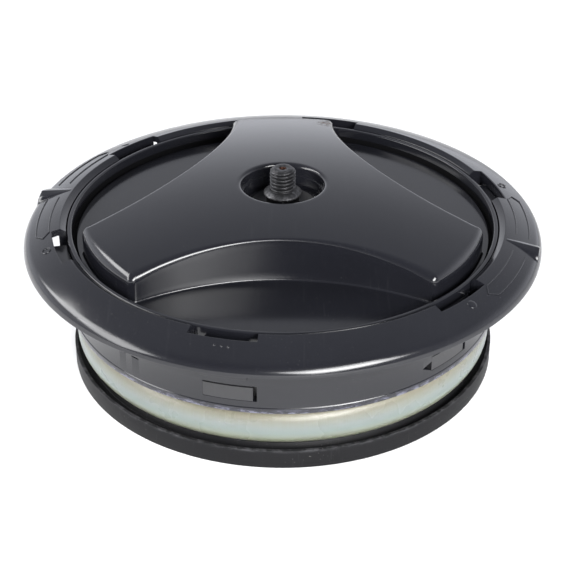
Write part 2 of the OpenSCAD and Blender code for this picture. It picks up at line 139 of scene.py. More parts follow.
def shade(me, sharp):
    me.polygons.foreach_set("use_smooth", [True] * len(me.polygons))
    me.set_sharp_from_angle(angle=math.radians(sharp))


def fillet(points, steps=4):
    """Rounds the corners of a closed outline given as (r, z, radius)."""
    out = []
    n = len(points)
    for i in range(n):
        p = np.array(points[i][:2], float)
        rad = points[i][2]
        if rad <= 0:
            out.append(tuple(p))
            continue
        a = np.array(points[i - 1][:2], float) - p
        b = np.array(points[(i + 1) % n][:2], float) - p
        la, lb = np.linalg.norm(a), np.linalg.norm(b)
        a, b = a / la, b / lb
        half = math.acos(max(-1, min(1, float(a @ b)))) / 2
        t = min(rad / math.tan(half), 0.45 * la, 0.45 * lb)
        rad = t * math.tan(half)
        mid = (a + b) / np.linalg.norm(a + b)
        c = p + mid * rad / math.sin(half)
        s, e = p + a * t - c, p + b * t - c
        turn = math.atan2(s[0] * e[1] - s[1] * e[0], s @ e)
        for k in range(steps + 1):
            w = turn * k / steps
            cw, sw = math.cos(w), math.sin(w)
            out.append((c[0] + s[0] * cw - s[1] * sw, c[1] + s[0] * sw + s[1] * cw))
    return out


def arc(c, r, a0, a1, n):
    angles = [a0 + (a1 - a0) * k / n for k in range(n + 1)]
    return [(c[0] + r * math.cos(a), c[1] + r * math.sin(a)) for a in angles]


def plain(points):
    """Points of an outline whose corners stay sharp."""
    return [(p[0], p[1], 0) for p in points]


def revolve(loop, n):
    """A full turn of a closed outline of (r, z)."""
    m = len(loop)
    verts = []
    for j in range(n):
        a = 2 * math.pi * j / n
        ca, sa = math.cos(a), math.sin(a)
        verts += [(r * ca, r * sa, z) for r, z in loop]
    faces = []
    for j in range(n):
        k = (j + 1) % n
        faces += [(j * m + i, k * m + i, k * m + (i + 1) % m, j * m + (i + 1) % m) for i in range(m)]
    return verts, faces


def tube(rows, m):
    """Faces along rows of m points each, joined round and closed with a flat face at both ends."""
    faces = []
    for i in range(rows - 1):
        a, b = i * m, (i + 1) * m
        faces += [(a + k, a + (k + 1) % m, b + (k + 1) % m, b + k) for k in range(m)]
    return faces + [tuple(range(m)), tuple((rows - 1) * m + k for k in range(m))]


def gather(parts):
    verts, faces = [], []
    for v, f in parts:
        b = len(verts)
        verts += v
        faces += [tuple(i + b for i in q) for q in f]
    return verts, faces


def inside(loops, x, y):
    odd = False
    for loop in loops:
        for (x0, y0), (x1, y1) in zip(loop, loop[1:] + loop[:1]):
            if (y0 > y) != (y1 > y) and x < (x1 - x0) * (y - y0) / (y1 - y0) + x0:
                odd = not odd
    return odd


def ring_solid(spans, step=0.5):
    """Revolved spans (a0, a1, section), each section a function of the angle that gives closed outlines.
    Where neighbouring sections differ, the difference is closed with a flat end."""
    verts, faces = [], []
    ends = []
    for a0, a1, section in spans:
        n = max(1, round((a1 - a0) / step))
        for which in range(len(section(a0))):
            base = len(verts)
            m = len(section(a0)[which])
            for j in range(n + 1):
                deg = a0 + (a1 - a0) * j / n
                a = math.radians(deg)
                verts += [(r * math.cos(a), r * math.sin(a), z) for r, z in section(deg)[which]]
            for j in range(n):
                b, c = base + j * m, base + (j + 1) * m
                faces += [(b + i, c + i, c + (i + 1) % m, b + (i + 1) % m) for i in range(m)]
        ends.append((section(a0), section(a1), a1))
    for i, (_, before, deg) in enumerate(ends):
        after = ends[(i + 1) % len(ends)][0]
        if before == after:
            continue
        pts, edges = [], []
        for loop in before + after:
            b = len(pts)
            pts += [Vector(p) for p in loop]
            edges += [(b + k, b + (k + 1) % len(loop)) for k in range(len(loop))]
        cv, _, cf, _, _, _ = delaunay_2d_cdt(pts, edges, [], 0, 1e-5)
        a = math.radians(deg)
        base = len(verts)
        verts += [(p[0] * math.cos(a), p[0] * math.sin(a), p[1]) for p in cv]
        for f in cf:
            x = sum(cv[k][0] for k in f) / len(f)
            y = sum(cv[k][1] for k in f) / len(f)
            if inside(before, x, y) != inside(after, x, y):
                faces.append(tuple(base + k for k in f))
    return verts, faces


# ---------------------------------------------------------------- material helpers
def material(name):
    m = bpy.data.materials.new(name)
    m.use_nodes = True
    t = m.node_tree
    t.nodes.clear()
    out = t.nodes.new("ShaderNodeOutputMaterial")
    bsdf = t.nodes.new("ShaderNodeBsdfPrincipled")
    t.links.new(bsdf.outputs[0], out.inputs[0])
    coord = t.nodes.new("ShaderNodeTexCoord")
    return m, t, bsdf, coord.outputs["Object"]


def node(t, kind, **settings):
    n = t.nodes.new(kind)
    for k, v in settings.items():
        setattr(n, k, v)
    return n


def noise(t, vec, scale, detail, rough):
    n = node(t, "ShaderNodeTexNoise")
    n.inputs["Scale"].default_value = scale
    n.inputs["Detail"].default_value = detail
    n.inputs["Roughness"].default_value = rough
    t.links.new(vec, n.inputs["Vector"])
    return n.outputs["Fac"]


def ramp(t, fac, stops):
    """stops: (position, grey or colour)"""
    n = node(t, "ShaderNodeValToRGB")
    el = n.color_ramp.elements
    while len(el) < len(stops):
        el.new(0.5)
    for e, (pos, col) in zip(el, stops):
        e.position = pos
        e.color = (*((col,) * 3 if isinstance(col, (int, float)) else col), 1)
    t.links.new(fac, n.inputs[0])
    return n.outputs[0]


def band(t, value, start, end, low=0.0, high=1.0):
    """Passes smoothly from low to high while the value goes from start to end."""
    n = node(t, "ShaderNodeMapRange", interpolation_type="SMOOTHSTEP")
    n.inputs["From Min"].default_value = start
    n.inputs["From Max"].default_value = end
    n.inputs["To Min"].default_value = low
    n.inputs["To Max"].default_value = high
    t.links.new(value, n.inputs["Value"])
    return n.outputs[0]


def calc(t, op, a, b=None, c=None):
    n = node(t, "ShaderNodeMath", operation=op)
    for i, v in enumerate((a, b, c)):
        if v is None:
            continue
        if isinstance(v, (int, float)):
            n.inputs[i].default_value = v
        else:
            t.links.new(v, n.inputs[i])
    return n.outputs[0]


def mix(t, fac, a, b):
    n = node(t, "ShaderNodeMix", data_type="RGBA")
    for sock, v in ((n.inputs[0], fac), (n.inputs[6], a), (n.inputs[7], b)):
        if isinstance(v, (int, float)):
            sock.default_value = v
        elif isinstance(v, tuple):
            sock.default_value = (*v, 1)
        else:
            t.links.new(v, sock)
    return n.outputs[2]


def bump(t, bsdf, height, distance):
    n = node(t, "ShaderNodeBump")
    n.inputs["Strength"].default_value = 1.0
    n.inputs["Distance"].default_value = distance
    t.links.new(height, n.inputs["Height"])
    t.links.new(n.outputs[0], bsdf.inputs["Normal"])


def stretched(t, vec, scale, rotation=(0, 0, 0)):
    n = node(t, "ShaderNodeMapping")
    n.inputs["Scale"].default_value = scale
    n.inputs["Rotation"].default_value = rotation
    t.links.new(vec, n.inputs["Vector"])
    return n.outputs[0]


# ---------------------------------------------------------------- materials
def plastic(name, base, rough, spread, dust, grain, scuff_z=None, scratch=0.5, gleam=0.5, worn_at=None):
    """Moulded black plastic: uneven gloss, a faint orange-peel skin, hairline scratches and specks of dust.
    scuff_z: a rubbed band (from z, full at z, amount, colour). worn_at: a nicked spot (x, y, z, radius)."""
    m, t, bsdf, vec = material(name)
    cloud = noise(t, vec, 38, 4, 0.6)
    fine = noise(t, vec, 900, 2, 0.5)
    specks = ramp(t, noise(t, vec, 1500, 1, 0.4), [(0.735, 0.0), (0.78, 1.0)])
    patch = ramp(t, noise(t, vec, 24, 3, 0.6), [(0.42, 0.0), (0.72, 1.0)])
    dusty = calc(t, "MULTIPLY", calc(t, "MULTIPLY", specks, patch), dust)
    hair = None
    for k, turn in enumerate((0.35, 1.3, 2.3)):
        line = noise(t, stretched(t, vec, (1400, 26, 60), (0.2 * k, 0.1, turn)), 1.0, 2, 0.6)
        line = ramp(t, line, [(0.69, 0.0), (0.72, 1.0)])
        hair = line if hair is None else calc(t, "MAXIMUM", hair, line)
    hair = calc(t, "MULTIPLY", hair, scratch)
    tint = mix(t, cloud, tuple(c * 0.85 for c in base), tuple(c * 1.2 for c in base))
    tint = mix(t, dusty, tint, (0.30, 0.29, 0.28))
    tint = mix(t, calc(t, "MULTIPLY", hair, 0.04), tint, (0.22, 0.22, 0.23))
    r = calc(t, "MULTIPLY_ADD", cloud, spread, rough - spread / 2)
    r = calc(t, "MULTIPLY_ADD", hair, 0.07, r)
    r = calc(t, "MULTIPLY_ADD", dusty, 0.5, r)
    skin = calc(t, "MULTIPLY_ADD", fine, 0.35, noise(t, vec, 130, 2, 0.4))
    skin = calc(t, "MULTIPLY_ADD", hair, -0.12, skin)
    if scuff_z:
        full, start, amount, colour = scuff_z
        z = node(t, "ShaderNodeSeparateXYZ")
        t.links.new(vec, z.inputs[0])
        streaks = noise(t, stretched(t, vec, (260, 260, 900)), 1.0, 5, 0.75)
        worn = ramp(t, streaks, [(0.47, 0.10), (0.60, 1.0)])
        worn = calc(t, "MULTIPLY", worn, band(t, z.outputs[2], start * MM, full * MM))
        tint = mix(t, calc(t, "MULTIPLY", worn, amount), tint, colour)
        r = calc(t, "MULTIPLY_ADD", worn, 0.25, r)
    if worn_at:
        *centre, radius = worn_at
        off = node(t, "ShaderNodeVectorMath", operation="DISTANCE")
        off.inputs[1].default_value = [c * MM for c in centre]
        t.links.new(vec, off.inputs[0])
        near = band(t, off.outputs["Value"], radius * MM, 0.2 * radius * MM)
        nicks = noise(t, stretched(t, vec, (500, 1100, 500), (0, 0, 0.5)), 1.0, 2, 0.5)
        nicks = calc(t, "MULTIPLY", ramp(t, nicks, [(0.50, 0.0), (0.60, 1.0)]), near)
        tint = mix(t, calc(t, "MULTIPLY", nicks, 0.8), tint, (0.15, 0.10, 0.08))
        r = calc(t, "MULTIPLY_ADD", nicks, 0.45, r)
        skin = calc(t, "MULTIPLY_ADD", nicks, -14.0, skin)
    t.links.new(tint, bsdf.inputs["Base Color"])
    t.links.new(r, bsdf.inputs["Roughness"])
    bump(t, bsdf, skin, grain)
    bsdf.inputs["Specular IOR Level"].default_value = gleam
    return m


def metal(name, base, rough, brushed=(300, 300, 2600), wear=None, metallic=1.0):
    """Brushed metal; wear is the colour of its rubbed edges."""
    m, t, bsdf, vec = material(name)
    cloud = noise(t, vec, 120, 4, 0.6)
    lines = noise(t, stretched(t, vec, brushed), 1.0, 3, 0.6)
    tint = mix(t, cloud, tuple(c * 0.75 for c in base), base)
    if wear:
        geo = node(t, "ShaderNodeNewGeometry")
        edge = ramp(t, geo.outputs["Pointiness"], [(0.50, 0.0), (0.56, 1.0)])
        rub = ramp(t, noise(t, vec, 900, 3, 0.6), [(0.35, 0.2), (0.65, 1.0)])
        tint = mix(t, calc(t, "MULTIPLY", calc(t, "MULTIPLY", edge, rub), 0.8), tint, wear)
    t.links.new(tint, bsdf.inputs["Base Color"])
    bsdf.inputs["Metallic"].default_value = metallic
    r = calc(t, "MULTIPLY_ADD", cloud, 0.12, rough - 0.16)
    t.links.new(calc(t, "MULTIPLY_ADD", lines, 0.2, r), bsdf.inputs["Roughness"])
    bump(t, bsdf, lines, 0.00003)
    return m


def silicone():
    """Pale translucent silicone: yellowish at the top, bluish in the middle, greenish beige below; the
    lighter bluish middle band is a painted highlight.
    """
    m, t, bsdf, vec = material("silicone")
    xyz = node(t, "ShaderNodeSeparateXYZ")
    t.links.new(vec, xyz.inputs[0])
    x, y, z = xyz.outputs
    height = calc(t, "DIVIDE", calc(t, "SUBTRACT", z, SEAL_Z * MM), SEAL_H * MM)
    around = calc(t, "ARCTAN2", y, x)
    wander = calc(t, "SUBTRACT", height, 0.05)
    wander = calc(t, "MULTIPLY_ADD", noise(t, vec, 30, 3, 0.5), 0.10, wander)
    # colour by height: the lighter bluish band round the middle is a painted highlight; darker and greener
    # towards the bottom
    tint = ramp(t, wander, [
        (0.0, (0.142, 0.146, 0.103)), (0.26, (0.168, 0.181, 0.138)), (0.44, (0.159, 0.191, 0.181)),
        (0.56, (0.176, 0.200, 0.194)), (0.70, (0.182, 0.191, 0.168)), (0.82, (0.191, 0.182, 0.138)),
        (1.0, (0.176, 0.159, 0.112)),
    ])
    # upright streaks, stronger towards the top
    unrolled = node(t, "ShaderNodeCombineXYZ")
    t.links.new(calc(t, "MULTIPLY", around, 85), unrolled.inputs[0])
    t.links.new(calc(t, "MULTIPLY", z, 40), unrolled.inputs[1])
    streak = ramp(t, noise(t, unrolled.outputs[0], 2.2, 4, 0.65), [(0.35, 0.0), (0.7, 1.0)])
    streaks = calc(t, "MULTIPLY", streak, band(t, height, 0.30, 1.0))
    tint = mix(t, calc(t, "MULTIPLY", streaks, 0.45), tint, (0.15, 0.14, 0.095))
    spots = ramp(t, noise(t, vec, 420, 3, 0.6), [(0.60, 0.0), (0.74, 1.0)])
    tint = mix(t, calc(t, "MULTIPLY", spots, 0.25), tint, (0.15, 0.145, 0.115))
    t.links.new(tint, bsdf.inputs["Base Color"])
    bsdf.inputs["Subsurface Weight"].default_value = 0.35
    bsdf.inputs["Subsurface Radius"].default_value = (0.7, 0.9, 0.6)
    bsdf.inputs["Subsurface Scale"].default_value = 0.004
    bsdf.inputs["IOR"].default_value = 1.41
    r = calc(t, "MULTIPLY_ADD", noise(t, vec, 60, 3, 0.5), 0.16, 0.20)
    t.links.new(r, bsdf.inputs["Roughness"])
    bump(t, bsdf, calc(t, "MULTIPLY_ADD", streaks, 0.6, noise(t, vec, 260, 3, 0.5)), 0.00006)
    return m


BLACK = (0.0085, 0.0088, 0.0115)
GLOSS = plastic("gloss_black", BLACK, 0.16, spread=0.05, dust=0.10, grain=0.000012)
KNOB = plastic("gloss_black_knob", BLACK, 0.16, spread=0.05, dust=0.10, grain=0.000012,
               worn_at=(19.3, 67.0, 65.0, 6.5))
RING = plastic("gloss_black_ring", BLACK, 0.17, spread=0.06, dust=0.10, grain=0.000012,
               scuff_z=(24.0, 26.9, 0.75, (0.20, 0.20, 0.27)))
PLATE = plastic("plate_black", (0.0095, 0.0095, 0.0105), 0.46, spread=0.16, dust=0.5, grain=0.00005,
                scuff_z=(8.1, 6.6, 0.28, (0.15, 0.15, 0.16)), scratch=0.9, gleam=0.10)
INNER = plastic("inner_black", (0.022, 0.022, 0.024), 0.38, spread=0.10, dust=0.4, grain=0.00003)
RUBBER = plastic("black_rubber", (0.012, 0.012, 0.012), 0.60, spread=0.10, dust=0.3, grain=0.00003,
                 scratch=0.0)
# painted shade: a near-black, dull, barely reflecting material for the groove at the foot of the knob's rim,
# standing in for the deep shadow in the gap; the knob itself is all one black plastic
GROOVE_PAINTED_SHADE = plastic("groove_painted_shade", (0.0035, 0.0035, 0.0040), 0.62, spread=0.08, dust=0.02, grain=0.00001,
                scratch=0.0, gleam=0.08)
NATURAL = plastic("natural_plastic", (0.62, 0.60, 0.52), 0.42, spread=0.08, dust=0.1, grain=0.00002,
                  scratch=0.3)
STUD = metal("stud_black", (0.027, 0.027, 0.029), 0.48, brushed=(500, 500, 1800),
             wear=(0.20, 0.20, 0.21), metallic=0.85)
STEEL = metal("steel", (0.56, 0.57, 0.58), 0.34)
BRONZE = metal("bronze", (0.56, 0.40, 0.20), 0.42)
# partly painted shade: the copper is darkened far below bright copper so that the bore of the vent tube
# reads dark as if in shadow; the rest is the tube's own brown
COPPER_AND_BORE_SHADE = metal("copper", (0.09, 0.045, 0.034), 0.55)
SILICONE = silicone()

BY_SLOT = {"gloss_black": GLOSS, "plate_black": PLATE, "inner_black": INNER, "black_rubber": RUBBER,
           "natural_plastic": NATURAL, "stud_black": STUD, "steel": STEEL, "bronze": BRONZE,
           "copper": COPPER_AND_BORE_SHADE, "silicone": SILICONE}
for part in frame["record"]["subparts"]:
    ob = frame["nodes"][part["node"]]
    for s in ob.material_slots:
        s.material = BY_SLOT[part["material_slot"]]
    shade(ob.data, 32)

# ---------------------------------------------------------------- outer ring
CAP = 3                                 # steps of each rounded corner


def crown_arc(radius, r0, r1, n):
    """Points on the crown, or on the underside that runs along it, from r0 to r1."""
    a0, a1 = (math.acos((r - CROWN_C[0]) / radius) for r in (r0, r1))
    return arc(CROWN_C, radius, a0, a1, n)


LIP_ARC = arc(LIP_C, LIP_R, 0, BLEND, 16)
IN_ARC = arc(LIP_C, LIP_R - SHELL, BLEND, 0, 8)
TOP_OUT = crown_arc(CROWN_R, BLEND_P[0], SLOT_R, 12)
TOP_IN = crown_arc(CROWN_R, SLOT_R, BEVEL_R, 6)
UNDER_IN = crown_arc(CROWN_R - SHELL, UNDER_R, SKIRT_R, 4)
UNDER_OUT = crown_arc(CROWN_R - SHELL, SKIRT_R, IN_ARC[0][0], 8)

# parts of the outlines, as (r, z, rounding), from the collar's underside up and over the flange
EDGE_LOW = [(COLLAR_IN, COLLAR_Z, 0.25), (83.65, 24.4, 0.35), (83.65, 26.5, 0.12), (MOUTH_R, 26.8, 0.12)]
STEP = [(MOUTH_R, STEP_Z, 0.04), (STEP_R, STEP_Z, 0.13)]
JOG = [(STEP_R, 46.5, 0.2), (UNDER_R, 48, 0.4)]
SKIRT = [(SKIRT_R, SKIRT_Z, 0.2), (*UNDER_OUT[0], 0.2)]
LIP = (plain(IN_ARC[1:-1]) + [(97.4, LIP_C[1], 0.3), (100, LIP_C[1], 0.35)]
       + plain(LIP_ARC[1:]) + plain(TOP_OUT[1:-1]))
MOUTH = ([(*TOP_OUT[-1], 0)] + plain(TOP_IN[1:-1]) + [(*TOP_IN[-1], 0.5), (MOUTH_R, MOUTH_Z, 0.4)]
         + [(MOUTH_R, COLLAR_TOP, 0), (COLLAR_IN, COLLAR_TOP, 0)])
FLANGE = JOG + [(*UNDER_IN[0], 0.3)] + plain(UNDER_IN[1:]) + plain(UNDER_OUT[1:]) + LIP + MOUTH
FLANGE_END = JOG + [(UNDER_R, SKIRT_Z, 0)] + SKIRT + plain(UNDER_OUT[1:]) + LIP + MOUTH
OPEN_TOP = [(STEP_R, COLLAR_TOP, 0.2), (COLLAR_IN, COLLAR_TOP, 0)]
BLOCK_TOP = [(STEP_R, BLOCK_Z[0], 0.1), (BLOCK_R, BLOCK_Z[0], 0.3), (BLOCK_R, BLOCK_Z[1], 0.35),
             (83.5, BLOCK_Z[1], 0.25), (83.5, COLLAR_TOP, 0), (COLLAR_IN, COLLAR_TOP, 0)]
DASH = [(MOUTH_R, 35.1, 0.05), (82.6, 35.1, 0), (82.6, 36.05, 0), (STEP_R, 36.05, 0.1)]
FLANGE_SLOT = fillet([(*UNDER_OUT[0], 0.2)] + plain(UNDER_OUT[1:]) + LIP
                     + [(*TOP_OUT[-1], 0.45), (88.85, SKIRT_Z, 0.2), (SKIRT_R, SKIRT_Z, 0.2)], CAP)


def collar_below(z):
    return fillet(EDGE_LOW + [(MOUTH_R, z, 0.1), (COLLAR_IN, z, 0)], CAP)


def collar_above(z, edge, top):
    return fillet([(COLLAR_IN, z, 0), (MOUTH_R, z, edge)] + STEP + top, CAP)


def fixed(*loops):
    """A section that is the same at every angle."""
    return lambda deg: list(loops)


def notch(deg, margin):
    """Lower and upper edge of the triangular notch in the collar."""
    u = math.radians(deg - NOTCH_AZ) * MOUTH_R + 2.6
    return NOTCH_Z - 0.5357 * u - margin, NOTCH_Z + 0.3929 * u + margin


def sec_notch(deg):
    lo, hi = notch(deg, 0.02)
    return [collar_below(lo), collar_above(hi, 0.1, FLANGE)]


def sec_slot_notch(deg):
    lo, hi = notch(deg, 0.0)
    return [collar_below(lo), collar_above(hi, 0.1, OPEN_TOP), FLANGE_SLOT]


sec_full = fixed(fillet(EDGE_LOW + STEP + FLANGE, CAP))
sec_end = fixed(fillet(EDGE_LOW + STEP + FLANGE_END, CAP))
sec_dash = fixed(fillet(EDGE_LOW + DASH + FLANGE, CAP))
sec_slot = fixed(fillet(EDGE_LOW + STEP + OPEN_TOP, CAP), FLANGE_SLOT)
sec_window = fixed(collar_below(WINDOW_Z[0]), collar_above(WINDOW_Z[1], 0, OPEN_TOP), FLANGE_SLOT)
sec_block = fixed(collar_below(WINDOW_Z[0]), collar_above(WINDOW_Z[1], 0, BLOCK_TOP), FLANGE_SLOT)

spans = []
for a in SLOTS:
    first = sec_slot_notch if a == SLOTS[-1] else sec_slot
    spans += [
        (a - SLOT_HALF, a + WINDOW_FROM, first),
        (a + WINDOW_FROM, a - BLOCK_HALF, sec_window),
        (a - BLOCK_HALF, a + BLOCK_HALF, sec_block),
        (a + BLOCK_HALF, a + WINDOW_TO, sec_window),
        (a + WINDOW_TO, a + SLOT_HALF, sec_slot),
        (a + SLOT_HALF, a + WALL_TO, sec_end),
    ]
    start, end = a + WALL_TO, a + 60 - SLOT_HALF
    for dash_from, dash_to in DASHES:
        if start < dash_from < end:
            spans += [(start, dash_from, sec_full), (dash_from, dash_to, sec_dash)]
            start = dash_to
    if start < NOTCH_FROM < end:
        spans += [(start, NOTCH_FROM, sec_full), (NOTCH_FROM, end, sec_notch)]
    else:
        spans.append((start, end, sec_full))
build("outer_ring_skin", ring_solid(spans), "lid_ring", RING, replaces=("outer_ring",),
      sharp=38)

# ---------------------------------------------------------------- marks and pointers on the flange
POINTERS = (166.5, 346.5)
MARK_R, MARK_W, MARK_H = 92, 0.5, 0.33
SINK = 0.12                             # how far small pieces reach into the flange
ARROW_R = (89.6 + 0.22, 94.6 + 0.22)    # the two long sides of each arrow
ARROW_FROM, ARROW_TO, ARROW_TIP = 4, 22, 24     # degrees from the pointer
OPEN_AT, CLOSED_AT = 30, -30            # the ring and the dot, in degrees from the pointer
PIPS_AT = 257


def sweep(path):
    """A low rounded ridge along points on the flange, given as (r, degrees)."""
    verts = []
    pts = [Vector((r * math.cos(math.radians(a)), r * math.sin(math.radians(a)), crown(r))) for r, a in path]
    prof = [(-0.5, -SINK), (-0.46, 0.45 * MARK_H), (-0.30, 0.88 * MARK_H), (0, MARK_H),
            (0.30, 0.88 * MARK_H), (0.46, 0.45 * MARK_H), (0.5, -SINK)]
    for i, p in enumerate(pts):
        d = (pts[min(i + 1, len(pts) - 1)] - pts[max(i - 1, 0)]).normalized()
        r = math.hypot(p.x, p.y)
        lean = (r - CROWN_C[0]) / CROWN_R
        n = Vector((p.x / r * lean, p.y / r * lean, (p.z - CROWN_C[1]) / CROWN_R))
        side = d.cross(n).normalized()
        verts += [tuple(p + side * (u * MARK_W) + n * h) for u, h in prof]
    return verts, tube(len(pts), len(prof))


def line(p, q, n):
    return [(p[0] + (q[0] - p[0]) * k / n, p[1] + (q[1] - p[1]) * k / n) for k in range(n + 1)]


def dot(az, r, h):
    """A low dome on the flange."""
    n, k = 28, 5
    cx, cy = MARK_R * math.cos(math.radians(az)), MARK_R * math.sin(math.radians(az))
    verts, faces = [], []
    for i in range(k + 1):
        w = math.pi / 2 * i / k
        rr = r * math.cos(w) ** 0.6 if i < k else 0.02
        for j in range(n):
            b = 2 * math.pi * j / n
            x, y = cx + rr * math.cos(b), cy + rr * math.sin(b)
            verts.append((x, y, crown(math.hypot(x, y)) - 0.1 + (h + 0.1) * math.sin(w)))
    for i in range(k):
        a, b = i * n, (i + 1) * n
        faces += [(a + j, a + (j + 1) % n, b + (j + 1) % n, b + j) for j in range(n)]
    faces.append(tuple(k * n + j for j in range(n)))
    faces.append(tuple(range(n)))
    return verts, faces


def circle(az, radius):
    c = math.radians(az)
    path = []
    for k in range(33):
        x = MARK_R * math.cos(c) + radius * math.cos(2 * math.pi * k / 32)
        y = MARK_R * math.sin(c) + radius * math.sin(2 * math.pi * k / 32)
        path.append((math.hypot(x, y), math.degrees(math.atan2(y, x))))
    return path


marks = []
for az in POINTERS:
    for r in ARROW_R:
        marks.append(sweep(line((r, az - ARROW_TO), (r, az - ARROW_FROM), 40)))
        marks.append(sweep(line((r, az + ARROW_FROM), (r, az + ARROW_TO), 40)))
    for s in (-1, 1):
        for r in ARROW_R:
            marks.append(sweep(line((r, az + s * ARROW_TO), (92.3, az + s * ARROW_TIP), 8)))
    marks.append(sweep(circle(az + OPEN_AT, 1.55)))
    marks.append(dot(az + CLOSED_AT, 1.8, 0.3))
for s in (-1.5, 0, 1.5):
    marks.append(dot(PIPS_AT + s, 0.5, 0.28))
build("flange_marks", gather(marks), "lid_ring", GLOSS, sharp=60)


def wedge(az, half_angle):
    """Pointer: a ridge that rises outwards, with flanks that fall gently and then steeply to the flange."""
    n, r_in, r_out = 30, 86.6, 98.9
    side = [(0.05, 0.985), (0.14, 0.93), (0.40, 0.78), (0.62, 0.64), (0.76, 0.51), (0.86, 0.36),
            (0.94, 0.18), (1.0, 0.07), (1.08, 0.015), (1.2, 0.0)]
    prof = [(-u, k) for u, k in side[::-1]] + [(0, 1.0)] + side
    half = 99.0 * math.tan(math.radians(half_angle))
    rows = []
    for i in range(n + 1):
        t = i / n
        r = r_in + (r_out - r_in) * t
        w = half * (0.16 + 0.84 * t)
        top = (crown(r_in) + 0.1) * (1 - t) + (LIP_C[1] + 6.3) * t
        row = []
        for u, k in prof:
            y = u * w
            foot = skin_z(math.hypot(r, y)) - (SINK if abs(u) > 1.1 else 0.0)
            row.append((r, y, foot + max(top - foot, 0.05) * k))
        rows.append(row)
    # the outer end, rounded and then let down into the lip
    for push, sink in ((0.10, 0.06), (0.22, 0.22), (0.30, 0.5)):
        rows.append([(x + push, y, z - sink) for x, y, z in rows[n]])
    low = skin_z(r_out + 0.34) - 0.6
    rows.append([(x + 0.34, y, min(z - 0.5, low)) for x, y, z in rows[n]])
    # the inner end
    rows.insert(0, [(x - 0.1, y, skin_z(math.hypot(x, y)) - SINK) for x, y, z in rows[0]])
    a = math.radians(az)
    ca, sa = math.cos(a), math.sin(a)
    verts = [(x * ca - y * sa, x * sa + y * ca, z) for row in rows for x, y, z in row]
    return verts, tube(len(rows), len(prof))


build("flange_pointers", gather([wedge(167.0, 3.2), wedge(346.4, 2.7)]), "lid_ring", GLOSS,
      sharp=50)

# ---------------------------------------------------------------- seal
seal_outline = fillet([(SEAL_IN, SEAL_Z, 3), (SEAL_R, SEAL_Z, 7), (SEAL_R, COLLAR_Z, 7),
                       (SEAL_IN, COLLAR_Z, 3)], 14)
seal = build("seal_ring", revolve(seal_outline, 480), "lid_ring", SILICONE,
             replaces=("expanding_seal",), sharp=60)
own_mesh(seal)


# ---------------------------------------------------------------- turn knob
def unit(a):
    return np.array([math.cos(a), math.sin(a)])


def lobes():
    """Points round the lobes' outline: position, outward direction, rounding of the top edge, and the
    direction from the axis that the points of its spoke start from."""
    corner_r = LOBE_R - CORNER
    off = math.acos((corner_r ** 2 + HOLLOW_D ** 2 - (HOLLOW_R + CORNER) ** 2) / (2 * corner_r * HOLLOW_D))
    c = corner_r * unit(off)
    d = np.array([HOLLOW_D, 0.0])
    to_c = math.atan2(*(c - d)[::-1])
    half = []
    n1, n2, n3 = 72, 26, 26             # points on the hollow, the corner and the lobe's end
    length1 = HOLLOW_R * (math.pi - to_c)
    for k in range(n1):
        out = -unit(math.pi + (to_c - math.pi) * k / n1)
        left = length1 * (1 - k / n1)
        rounding = 1.15 + 1.75 * smooth(1 - left / 50) + 0.4 * smooth(1 - left / 9)
        half.append((d - HOLLOW_R * out, out, rounding))
    b0, b1 = math.atan2(*(d - c)[::-1]), off
    for k in range(n2):
        out = unit(b0 + (b1 - b0) * k / n2)
        half.append((c + CORNER * out, out, 3.3 + 0.2 * k / n2))
    b = math.pi / 3                     # a sixth of a turn: the middle of the lobe
    for k in range(n3):
        w = off + (b - off) * k / n3
        half.append((LOBE_R * unit(w), unit(w), 3.5 + 1.4 * smooth((w - off) * LOBE_R / 18)))
    apex = (LOBE_R * unit(b), unit(b), 4.9)

    def mirror(p):
        c2, s2 = math.cos(2 * b), math.sin(2 * b)
        return np.array([p[0] * c2 + p[1] * s2, p[0] * s2 - p[1] * c2])

    third = half + [apex] + [(mirror(p), mirror(o), r) for p, o, r in half[:0:-1]]
    s = [0.0]
    for i in range(1, len(third) + 1):
        p = third[i][0] if i < len(third) else mirror(half[0][0])
        s.append(s[-1] + float(np.linalg.norm(p - third[i - 1][0])))
    whole = []
    for k in range(3):
        w = math.radians(30 + 120 * k)
        rot = np.array([[math.cos(w), -math.sin(w)], [math.sin(w), math.cos(w)]])
        whole += [(rot @ p, rot @ o, r, w + 2 * math.pi / 3 * s[i] / s[-1])
                  for i, (p, o, r) in enumerate(third)]
    return whole


